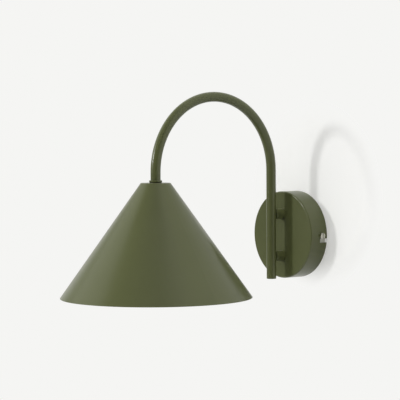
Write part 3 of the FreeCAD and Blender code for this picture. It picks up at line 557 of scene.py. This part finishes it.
# Vulcanised fibre, punched from sheet: near black and dry, with a papery fleck. Its near black is
# partly painted shade: it also stands in for the shadow in the gap between the collar and the
# shade.
FIBRE_AND_GAP_SHADE = Finish(
    "vulcanised fibre, punched, near black as painted gap shade",
    "#1D1B18",
    "#2A2723",
    roughness=0.75,
    cloud_mm=1.2,
    grain_mm=0.2,
    grain_depth_mm=0.01,
)
# PVC insulation, extruded: soft sheen with draw lines that follow the wire.
BROWN_PVC = Finish("brown PVC, extruded", "#59331E", "#633B24", 0.42, cloud_mm=8.0, grain_mm=0.4)
BLUE_PVC = Finish("blue PVC, extruded", "#1F5CA8", "#2766B2", 0.42, cloud_mm=8.0, grain_mm=0.4)
# The earth wire's two colours: green with a yellow stripe.
EARTH_PVC = StripedPvc("green and yellow PVC, extruded", "#3E8A35", "#E3CF2C", 0.42, grain_mm=0.4)
# Soda-lime bulb glass, blown: clear, bright at its edges, with a slow wave in its reflections.
BLOWN_GLASS = Glass(
    "soda-lime glass, blown",
    "#FFFFFF",
    "#FFFFFF",
    roughness=0.0,
    grain_mm=14.0,
    grain_depth_mm=0.06,
)
# Lead-free stem glass, drawn and pressed: the same, with finer waves.
DRAWN_GLASS = Glass(
    "stem glass, drawn", "#F3F8F5", "#F3F8F5", roughness=0.02, grain_mm=4.0, grain_depth_mm=0.05
)
# Black glass, melted into the cap: wet-looking and even.
FUSED_GLASS = Finish(
    "black insulator glass, fused",
    "#0B0B0E",
    "#121216",
    roughness=0.09,
    cloud_mm=3.0,
    grain_mm=3.0,
    grain_depth_mm=0.02,
)
# Silicone loaded with yellow phosphor, dip coated on the light strips: matt amber yellow.
PHOSPHOR_COAT = Finish(
    "phosphor silicone, dip coated",
    "#E3A92F",
    "#EDBB45",
    roughness=0.6,
    cloud_mm=1.5,
    grain_mm=0.6,
    grain_depth_mm=0.04,
)


# --- Sub-assemblies ------------------------------------------------------------------------------
@dataclass
class SubAssembly:
    """A part of the lamp whose pieces are dressed together.

    Args:
        nodes: The lamp's CAD pieces by name.
    """

    nodes: dict[str, bpy.types.Object]

    def coat(self, finish: Finish, *names: str) -> None:
        """Gives CAD pieces a finish.

        Args:
            finish: What they are finished in.
            *names: The pieces.
        """
        for name in names:
            mesh = self.nodes[name].data
            mesh.materials.clear()
            mesh.materials.append(finish.material())
            log.info("%s: %s, %d faces", name, finish.name, len(mesh.polygons))


@dataclass
class WallFixing(SubAssembly):
    """The bracket on the wall, its lock screws and its earth stud."""

    def dress(self) -> None:
        """Plates the bracket and its fasteners."""
        self.coat(ZINC_SHEET, "wall_bracket")
        self.coat(ZINC_FASTENER, "lock_screws", "earth_washer", "earth_nut")
        self.coat(ZINC_STUD, "earth_stud")


@dataclass
class CupAndPosts(SubAssembly):
    """The wall cup, the posts on its face and what holds them from inside."""

    def dress(self) -> None:
        """Coats what shows and plates what is inside."""
        self.coat(OLIVE_COAT, "wall_cup", "post_upper", "post_lower")
        self.coat(BRASS_NIPPLE, "post_nipple")
        self.coat(
            ZINC_FASTENER,
            "post_nipple_washer",
            "post_nipple_nut",
            "earth_tag",
            "post_screw_washer",
            "post_screw",
        )


@dataclass
class Gooseneck(SubAssembly):
    """The bent tube, its end plug, and the ring and washer that sit on the shade."""

    def dress(self) -> None:
        """Coats the tube, the plug and the ring, and leaves the washer bare."""
        self.coat(OLIVE_COAT, "arm_tube", "arm_end_plug", "arm_collar")
        # The washer's near-black fibre is partly painted shade, standing in for the shadow in the
        # gap under the collar.
        self.coat(FIBRE_AND_GAP_SHADE, "shade_washer")


@dataclass
class ConeShade(SubAssembly):
    """The spun cone, olive outside and white inside, with the nut that clamps it."""

    rim_edge: float = 0.0006
    outward_weight: float = 0.6

    def dress(self) -> None:
        """Coats the cone outside, then its inner faces, and plates the clamp."""
        self.coat(OLIVE_COAT, "shade")
        mesh = self.nodes["shade"].data
        mesh.materials.append(WHITE_COAT.material())
        lowest = min(v.co.z for v in mesh.vertices)
        inner = [self.is_inner(face, lowest) for face in mesh.polygons]
        mesh.polygons.foreach_set("material_index", [int(white) for white in inner])
        log.info("shade: %d inner faces are white", sum(inner))
        self.coat(ZINC_FASTENER, "shade_lock_washer", "shade_nut")

    def is_inner(self, face: bpy.types.MeshPolygon, lowest: float) -> bool:
        """Tells whether a face is on the cone's inside.

        Args:
            face: A face of the shade's mesh.
            lowest: The height of the shade's rim.

        Returns:
            True where the face looks in or down, above the rim's edge.
        """
        outward = face.center - Vector((0, SHADE_AXIS_Y, 0))
        outward.z = 0
        out_and_up = outward.normalized() * self.outward_weight + Vector((0, 0, 1))
        return face.normal.dot(out_and_up) < 0 and face.center.z > lowest + self.rim_edge


@dataclass
class RolledThread:
    """A round thread rolled into a thin shell about the shade's axis.

    The radius goes once from root to crest and back in each turn and each pitch, which winds one
    even helix.
    """

    root_radius: float
    crest_radius: float
    top: float
    foot: float
    pitch: float = 0.002822
    run_out: float = 0.0012
    columns: int = 64
    rows_per_pitch: int = 10

    def radius(self, angle: float, z: float) -> float:
        """Returns the surface's distance from the axis.

        Args:
            angle: The direction about the axis, in radians.
            z: The height.

        Returns:
            The radius in metres, faded to the crest at both ends of the thread.
        """
        fade = min(1.0, (self.top - z) / self.run_out, (z - self.foot) / self.run_out)
        dip = 0.5 - 0.5 * math.cos(2 * math.pi * z / self.pitch - angle)
        return self.crest_radius - (self.crest_radius - self.root_radius) * dip * max(0.0, fade)

    def rings(self) -> list[Ring]:
        """Makes the thread's rings.

        Returns:
            The rings from top to foot, each with a radius and a height for each column.
        """
        count = math.ceil((self.top - self.foot) / self.pitch * self.rows_per_pitch)
        heights = [self.top + (self.foot - self.top) * k / count for k in range(count + 1)]
        angles = [2 * math.pi * k / self.columns for k in range(self.columns)]
        return [[(self.radius(a, z), z) for a in angles] for z in heights]

    def plain_ring(self, radius: float, z: float) -> Ring:
        """Returns a round ring with as many columns as the thread."""
        return [(radius, z)] * self.columns


def ring_piece(
    name: str, rings: list[Ring], closed: bool, finish: Finish, body: str
) -> bpy.types.Object:
    """Makes one piece from rings about the shade's axis, joined in their order.

    Args:
        name: The piece's name.
        rings: A radius and a height for each column of each ring.
        closed: Whether the last ring joins the first, as in a tube with a wall.
        finish: What it is finished in.
        body: The body that it rides on.

    Returns:
        The new piece.
    """
    work = bmesh.new()
    rows = []
    for ring in rings:
        turn = 2 * math.pi / len(ring)
        rows.append(
            [
                work.verts.new((r * math.cos(k * turn), SHADE_AXIS_Y + r * math.sin(k * turn), z))
                for k, (r, z) in enumerate(ring)
            ]
        )
    pairs = list(zip(rows, rows[1:])) + ([(rows[-1], rows[0])] if closed else [])
    for upper, lower in pairs:
        for k, corner in enumerate(upper):
            after = (k + 1) % len(upper)
            work.faces.new((corner, lower[k], lower[after], upper[after]))
    if not closed:
        work.faces.new(rows[0])
        work.faces.new(reversed(rows[-1]))
    bmesh.ops.recalc_face_normals(work, faces=work.faces)
    mesh = bpy.data.meshes.new(name)
    work.to_mesh(mesh)
    work.free()
    mesh.shade_smooth()
    mesh.set_sharp_from_angle(angle=math.radians(SHARP_EDGE_DEG))
    mesh.materials.append(finish.material())
    piece = add_object(name, mesh)
    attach(piece, body)
    log.info("%s: %s, %d faces", name, finish.name, len(mesh.polygons))
    return piece


@dataclass
class Lampholder(SubAssembly):
    """The holder under the shade: cap, sleeve, insert and a socket shell with a rolled thread."""

    thread_crest: float = 0.0069
    thread_root: float = 0.00715
    thread_top_gap: float = 0.0006
    thread_foot_gap: float = 0.0012
    shell_wall: float = 0.00035
    flange_hole: float = 0.0042
    flange_outside: float = 0.0072
    flange_inside: float = 0.0066
    flange_thickness: float = 0.0004
    mouth_inset: float = 0.0001

    def dress(self) -> None:
        """Finishes the moulded pieces and rolls the socket's thread."""
        self.coat(BLACK_MOULDING, "holder_cap", "holder_sleeve")
        self.coat(WHITE_MOULDING, "holder_insert")
        self.coat(ZINC_FASTENER, "holder_grub_screw")
        self.coat(SPRING_BRONZE, "holder_contact")
        self.coat(DRAWN_BRASS, "holder_shell")
        self.roll_shell()

    def roll_shell(self) -> bpy.types.Object:
        """Makes the socket's shell: a flange, a threaded wall and a flared mouth.

        Returns:
            The piece, which stands for the plain one.
        """
        low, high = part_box("holder_shell")
        bore = RolledThread(
            self.thread_root,
            self.thread_crest,
            high.z - self.thread_top_gap,
            low.z + self.thread_foot_gap,
        )
        skin = RolledThread(
            self.thread_root + self.shell_wall,
            self.thread_crest + self.shell_wall,
            bore.top,
            bore.foot,
        )
        mouth = max((high - low).x / 2 - self.mouth_inset, self.thread_root + self.shell_wall)
        under = high.z - self.flange_thickness
        rings = [
            bore.plain_ring(self.flange_hole, high.z),
            bore.plain_ring(self.flange_outside, high.z),
            *skin.rings(),
            bore.plain_ring(mouth, low.z),
            bore.plain_ring(mouth - self.shell_wall, low.z),
            *reversed(bore.rings()),
            bore.plain_ring(self.flange_inside, under),
            bore.plain_ring(self.flange_hole, under),
        ]
        piece = ring_piece("socket_shell", rings, True, DRAWN_BRASS, "lamp")
        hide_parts("holder_shell")
        return piece


@dataclass
class GolfBallBulb(SubAssembly):
    """The bulb: a threaded cap with its contact, a clear globe, and light strips on a stem."""

    thread_crest: float = 0.0068
    thread_root: float = 0.0061
    thread_foot_gap: float = 0.0022
    shoulder: float = 0.0008

    def dress(self) -> None:
        """Finishes the bulb's pieces and rolls its cap's thread."""
        self.coat(SOLDER, "bulb_contact")
        self.coat(FUSED_GLASS, "bulb_insulator")
        self.coat(NICKEL_CAP, "bulb_shell")
        self.coat(BLOWN_GLASS, "bulb_globe")
        self.coat(DRAWN_GLASS, "bulb_stem")
        self.coat(PHOSPHOR_COAT, "bulb_filaments")
        self.roll_cap()

    def roll_cap(self) -> bpy.types.Object:
        """Makes the bulb's cap: a threaded wall between two plain ends.

        Returns:
            The piece, which stands for the plain one.
        """
        low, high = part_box("bulb_shell")
        thread = RolledThread(
            self.thread_root,
            self.thread_crest,
            high.z - self.shoulder,
            low.z + self.thread_foot_gap,
        )
        rings = [
            thread.plain_ring(self.thread_crest - self.shoulder, high.z),
            *thread.rings(),
            thread.plain_ring(self.thread_crest, low.z),
        ]
        piece = ring_piece("bulb_cap", rings, False, NICKEL_CAP, "bulb")
        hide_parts("bulb_shell")
        return piece


@dataclass
class Wiring(SubAssembly):
    """The terminal block in the cup and the wires through the arm."""

    def dress(self) -> None:
        """Finishes the block, its metal and each wire's insulation."""
        self.coat(NYLON_MOULDING, "terminal_block")
        self.coat(DRAWN_BRASS, "terminal_clamps")
        self.coat(ZINC_FASTENER, "terminal_screws", "terminal_stud", "terminal_nut")
        self.coat(BROWN_PVC, "wire_live")
        self.coat(BLUE_PVC, "wire_neutral")
        self.coat(EARTH_PVC, "wire_earth")


# --- Stage, lights and camera --------------------------------------------------------------------
@dataclass
class PhotoCamera:
    """The camera that took the photograph, solved from the lamp's own outline.

    It looks at a point in front of the wall and is then slid in its own image plane, so it needs
    no lens shift.
    """

    azimuth_deg: float = 51.38
    elevation_deg: float = 2.31
    roll_deg: float = -0.32
    distance: float = 1.9163
    focal_px: float = 1712.5
    image_px: float = 400.0
    sensor_mm: float = 36.0
    slide_right: float = -0.01975
    slide_up: float = 0.04276
    target: tuple[float, float, float] = (0.0, -0.12, 0.0)
    farthest: float = 20.0

    def place(self) -> bpy.types.Object:
        """Makes the camera and sets it as the scene's.

        Returns:
            The camera object.
        """
        back = direction(self.azimuth_deg, self.elevation_deg)
        level_right = (-back).cross(Vector((0, 0, 1))).normalized()
        level_up = level_right.cross(-back)
        roll = math.radians(self.roll_deg)
        right = level_right * math.cos(roll) + level_up * math.sin(roll)
        up = level_up * math.cos(roll) - level_right * math.sin(roll)
        place = Vector(self.target) + back * self.distance
        place += right * self.slide_right + up * self.slide_up
        data = bpy.data.cameras.new("photo_camera")
        data.sensor_width = self.sensor_mm
        data.lens = self.focal_px * data.sensor_width / self.image_px
        data.clip_end = self.farthest
        camera = add_object("photo_camera", data)
        turn = Matrix((right, up, back)).transposed()
        camera.matrix_world = Matrix.Translation(place) @ turn.to_4x4()
        bpy.context.scene.camera = camera
        log.info("photo_camera: %.1f mm lens", data.lens)
        return camera


@dataclass(frozen=True)
class SoftLight:
    """A far soft light, as the direction that it stands in, how wide it looks and its strength."""

    name: str
    azimuth_deg: float
    elevation_deg: float
    spread_deg: float
    strength: float

    def hang(self) -> bpy.types.Object:
        """Makes the light.

        Returns:
            The light object.
        """
        data = bpy.data.lights.new(self.name, "SUN")
        data.energy = self.strength
        data.angle = math.radians(self.spread_deg)
        lamp = add_object(self.name, data)
        toward = direction(self.azimuth_deg, self.elevation_deg)
        lamp.rotation_mode = "QUATERNION"
        lamp.rotation_quaternion = toward.to_track_quat("Z", "Y")
        lamp.location = toward * LIGHT_DISTANCE
        log.info(
            "%s: azimuth %.0f, elevation %.0f", self.name, self.azimuth_deg, self.elevation_deg
        )
        return lamp


@dataclass
class Studio:
    """A pale wall and floor, two soft lights, and a world that fills matt faces from three sides.

    The wall is even, and shows the shadows that the lamp throws on it only near the cup, as a
    retouched studio picture does. What the wall throws back is dimmed by wall_bounce. Each of the
    world's fills is an azimuth, an elevation and a strength.
    """

    wall_colour: str = "#F5F5F3"
    floor_colour: str = "#EDEDEB"
    wall_half_width: float = 2.2
    wall_top: float = 1.6
    wall_sides: int = 96
    floor_depth: float = 4.4
    floor_z: float = -0.55
    wall_gap: float = 0.0004
    cup_hole_radius: float = 0.042
    shadow_centre: tuple[float, float, float] = (0.03, 0.0, 0.045)
    shadow_reach: float = 0.07
    shadow_end: float = 0.108
    shadow_softening: float = 0.2
    wall_light: float = 0.86
    wall_bounce: float = 0.65
    room_shine: float = 0.0
    shine_edges: tuple[float, float] = (-0.2, 0.2)
    key: SoftLight = SoftLight("key_light", -34.0, 15.0, 7.0, 1.08)
    side: SoftLight = SoftLight("side_light", -58.0, 33.0, 45.0, 0.45)
    fills: tuple[tuple[float, float, float], ...] = (
        (0.0, 90.0, 1.75),
        (-25.0, 10.0, 0.75),
        (75.0, 50.0, 1.1),
    )
    fill_edge_deg: float = 50.0
    fill_core_deg: float = 10.0

    def build(self) -> None:
        """Makes the wall, the floor, the lights and the world."""
        self.make_wall()
        self.make_floor()
        for light in (self.key, self.side):
            light.hang()
        self.make_world()
        bpy.context.scene.view_settings.view_transform = "Standard"

    def shadow_fade(self, tree: Tree) -> Socket:
        """Adds how far the lamp's shadows have faded out of the wall.

        Args:
            tree: The paint's node tree.

        Returns:
            From shadow_softening, within shadow_reach of the centre, to 1 at shadow_end.
        """
        where = add_node(tree, "ShaderNodeTexCoord")
        away = add_node(
            tree,
            "ShaderNodeVectorMath",
            {0: where.outputs["Object"], 1: self.shadow_centre},
            operation="DISTANCE",
        )
        return ramp(
            tree,
            away.outputs["Value"],
            (self.shadow_reach, self.shadow_end),
            (self.shadow_softening, 1.0),
            interpolation_type="SMOOTHSTEP",
        )

    def one_sided(self, name: str, colour: str) -> bpy.types.Material:
        """Makes matt paint that shows from its front and lets a look from behind through.

        Args:
            name: The material's name.
            colour: Its sRGB colour.

        Returns:
            The material.
        """
        paint = bpy.data.materials.new(name)
        paint.use_nodes = True
        tree = paint.node_tree
        tree.nodes.remove(tree.nodes["Principled BSDF"])
        rays = add_node(tree, "ShaderNodeLightPath").outputs
        full = linear(colour)
        dimmed = (*(channel * self.wall_bounce for channel in full[:3]), 1.0)
        shown = mix_colours(tree, rays["Is Diffuse Ray"], full, dimmed)
        matt = add_node(tree, "ShaderNodeBsdfDiffuse", {"Color": shown})
        fade = self.shadow_fade(tree)
        seen = maths(tree, "MAXIMUM", rays["Is Camera Ray"], rays["Is Glossy Ray"])
        share = maths(tree, "MULTIPLY", seen, fade)
        # What the lights leave out of full brightness, so that the unshadowed wall is even.
        missing = ramp(tree, fade, target=(1.0 - self.wall_light, 1.0))
        glow = maths(tree, "MULTIPLY", seen, missing)
        even = add_node(tree, "ShaderNodeEmission", {"Color": full, "Strength": glow})
        lit = add_node(tree, "ShaderNodeMixShader", {0: share, 1: matt.outputs["BSDF"]})
        front = add_node(
            tree, "ShaderNodeAddShader", {0: lit.outputs["Shader"], 1: even.outputs["Emission"]}
        )
        clear = add_node(tree, "ShaderNodeBsdfTransparent")
        facing = add_node(tree, "ShaderNodeNewGeometry")
        both = add_node(
            tree,
            "ShaderNodeMixShader",
            {
                0: facing.outputs["Backfacing"],
                1: front.outputs["Shader"],
                2: clear.outputs["BSDF"],
            },
        )
        tree.links.new(both.outputs["Shader"], tree.nodes["Material Output"].inputs["Surface"])
        return paint

    def stage_piece(
        self, name: str, corners: list[Vector], faces: list[tuple[int, ...]], colour: str
    ) -> None:
        """Links a flat stage piece.

        Args:
            name: Its name.
            corners: Its corners.
            faces: Its faces as corner numbers.
            colour: Its paint's sRGB colour.
        """
        mesh = bpy.data.meshes.new(name)
        mesh.from_pydata([tuple(c) for c in corners], [], faces)
        mesh.materials.append(self.one_sided(name + " paint", colour))
        piece = add_object(name, mesh)
        log.info("%s: %d faces", name, len(faces))

    def make_wall(self) -> None:
        """Makes the wall, open behind the cup so that light gets into the cup from behind."""
        sides = self.wall_sides
        inner, outer = [], []
        for k in range(sides):
            angle = 2 * math.pi * k / sides
            across, up = math.cos(angle), math.sin(angle)
            inner.append(Vector((across, 0, up)) * self.cup_hole_radius)
            reach = 1 / max(abs(across), abs(up))
            height = self.wall_top if up > 0 else -self.floor_z
            outer.append(Vector((across * reach * self.wall_half_width, 0, up * reach * height)))
        corners = [c + Vector((0, self.wall_gap, 0)) for c in inner + outer]
        faces = []
        for k in range(sides):
            after = (k + 1) % sides
            faces.append((k, sides + k, sides + after, after))
        self.stage_piece("studio_wall", corners, faces, self.wall_colour)

    def make_floor(self) -> None:
        """Makes the floor, well below the lamp."""
        half, front, z = self.wall_half_width, -self.floor_depth, self.floor_z
        corners = [Vector((-half, front, z)), Vector((half, front, z))]
        corners += [Vector((half, self.wall_gap, z)), Vector((-half, self.wall_gap, z))]
        self.stage_piece("studio_floor", corners, [(0, 1, 2, 3)], self.floor_colour)

    def make_world(self) -> None:
        """Makes the world: white where seen, soft fills for matt faces, a dark room in gloss."""
        world = bpy.data.worlds.new("studio_world")
        world.use_nodes = True
        tree = world.node_tree
        way = add_node(tree, "ShaderNodeTexCoord").outputs["Generated"]
        behind = add_node(tree, "ShaderNodeSeparateXYZ", {"Vector": way}).outputs["Y"]
        edge, core = (math.cos(math.radians(a)) for a in (self.fill_edge_deg, self.fill_core_deg))
        fill: Socket | float = 0.0
        for azimuth, elevation, strength in self.fills:
            near = add_node(
                tree,
                "ShaderNodeVectorMath",
                {0: way, 1: direction(azimuth, elevation)},
                operation="DOT_PRODUCT",
            )
            box = ramp(tree, near.outputs["Value"], (edge, core), (0.0, strength))
            fill = maths(tree, "ADD", fill, box)
        shine = ramp(tree, behind, self.shine_edges, (self.room_shine, 1.0))
        rays = add_node(tree, "ShaderNodeLightPath").outputs
        unseen = mix_numbers(tree, rays["Is Glossy Ray"], fill, shine)
        seen = maths(tree, "MAXIMUM", rays["Is Camera Ray"], rays["Is Transmission Ray"])
        total = mix_numbers(tree, seen, unseen, 1.0)
        background = tree.nodes["Background"]
        background.inputs["Color"].default_value = (1.0, 1.0, 1.0, 1.0)
        tree.links.new(total, background.inputs["Strength"])
        bpy.context.scene.world = world
        log.info("studio_world: %d soft fills", len(self.fills))


def main() -> None:
    """Loads the frame, dresses each sub-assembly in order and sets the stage."""
    logging.basicConfig(level=logging.INFO, format="%(name)s: %(message)s")
    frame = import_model()
    PhotoCamera().place()
    for kind in (WallFixing, CupAndPosts, Gooseneck, ConeShade, Lampholder, GolfBallBulb, Wiring):
        log.info("%s", kind.__name__)
        kind(frame["nodes"]).dress()
    Studio().build()


if __name__ == "__main__":
    main()
